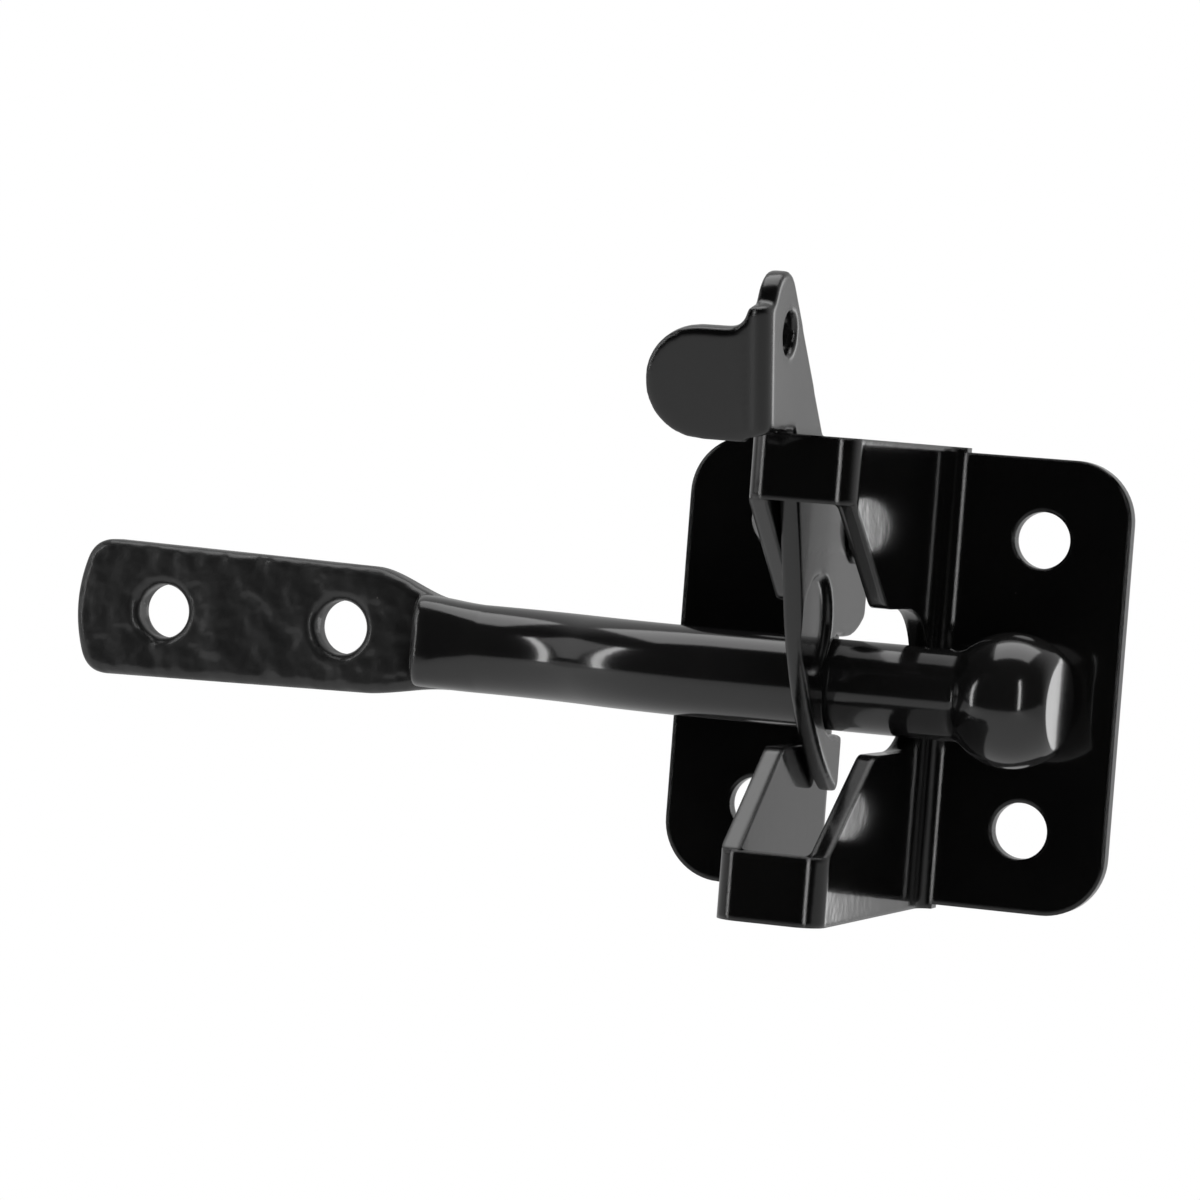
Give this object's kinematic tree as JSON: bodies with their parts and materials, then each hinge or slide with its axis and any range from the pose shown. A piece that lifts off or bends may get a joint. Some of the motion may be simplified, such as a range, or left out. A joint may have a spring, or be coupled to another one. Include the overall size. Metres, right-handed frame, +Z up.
{
  "type": "gate latch",
  "caption": "Automatic gravity gate latch with a folded post bracket, a swinging lever with a thumb tab and cord hole, and a forged strike bar held in its slot.",
  "frame": {"origin": "centre of the bracket's screw pattern on the back faces of its flanges, where they meet the post", "axes": "+Y points into the post, +Z up, +X to the right seen from the front"},
  "size_m": [0.148, 0.0598, 0.0811],
  "materials": {
    "sheet_enamel": "gloss black enamel on folded sheet",
    "lever_enamel": "gloss black enamel on stamped plate",
    "rivet_enamel": "gloss black enamel on a domed rivet",
    "bar_enamel": "gloss black enamel on forged bar"
  },
  "bodies": {
    "latch": {"latch_body": "sheet_enamel", "pivot_rivet": "rivet_enamel", "strike_bar": "bar_enamel"},
    "lever": {"latch_lever": "lever_enamel"}
  },
  "joints": [
    {"name": "lever_pivot", "type": "hinge", "parent": "latch", "child": "lever", "pos_m": [-0.0063, -0.0106, 0.019], "axis": [-1, 0, 0], "range_deg": [0, 60]}
  ]
}
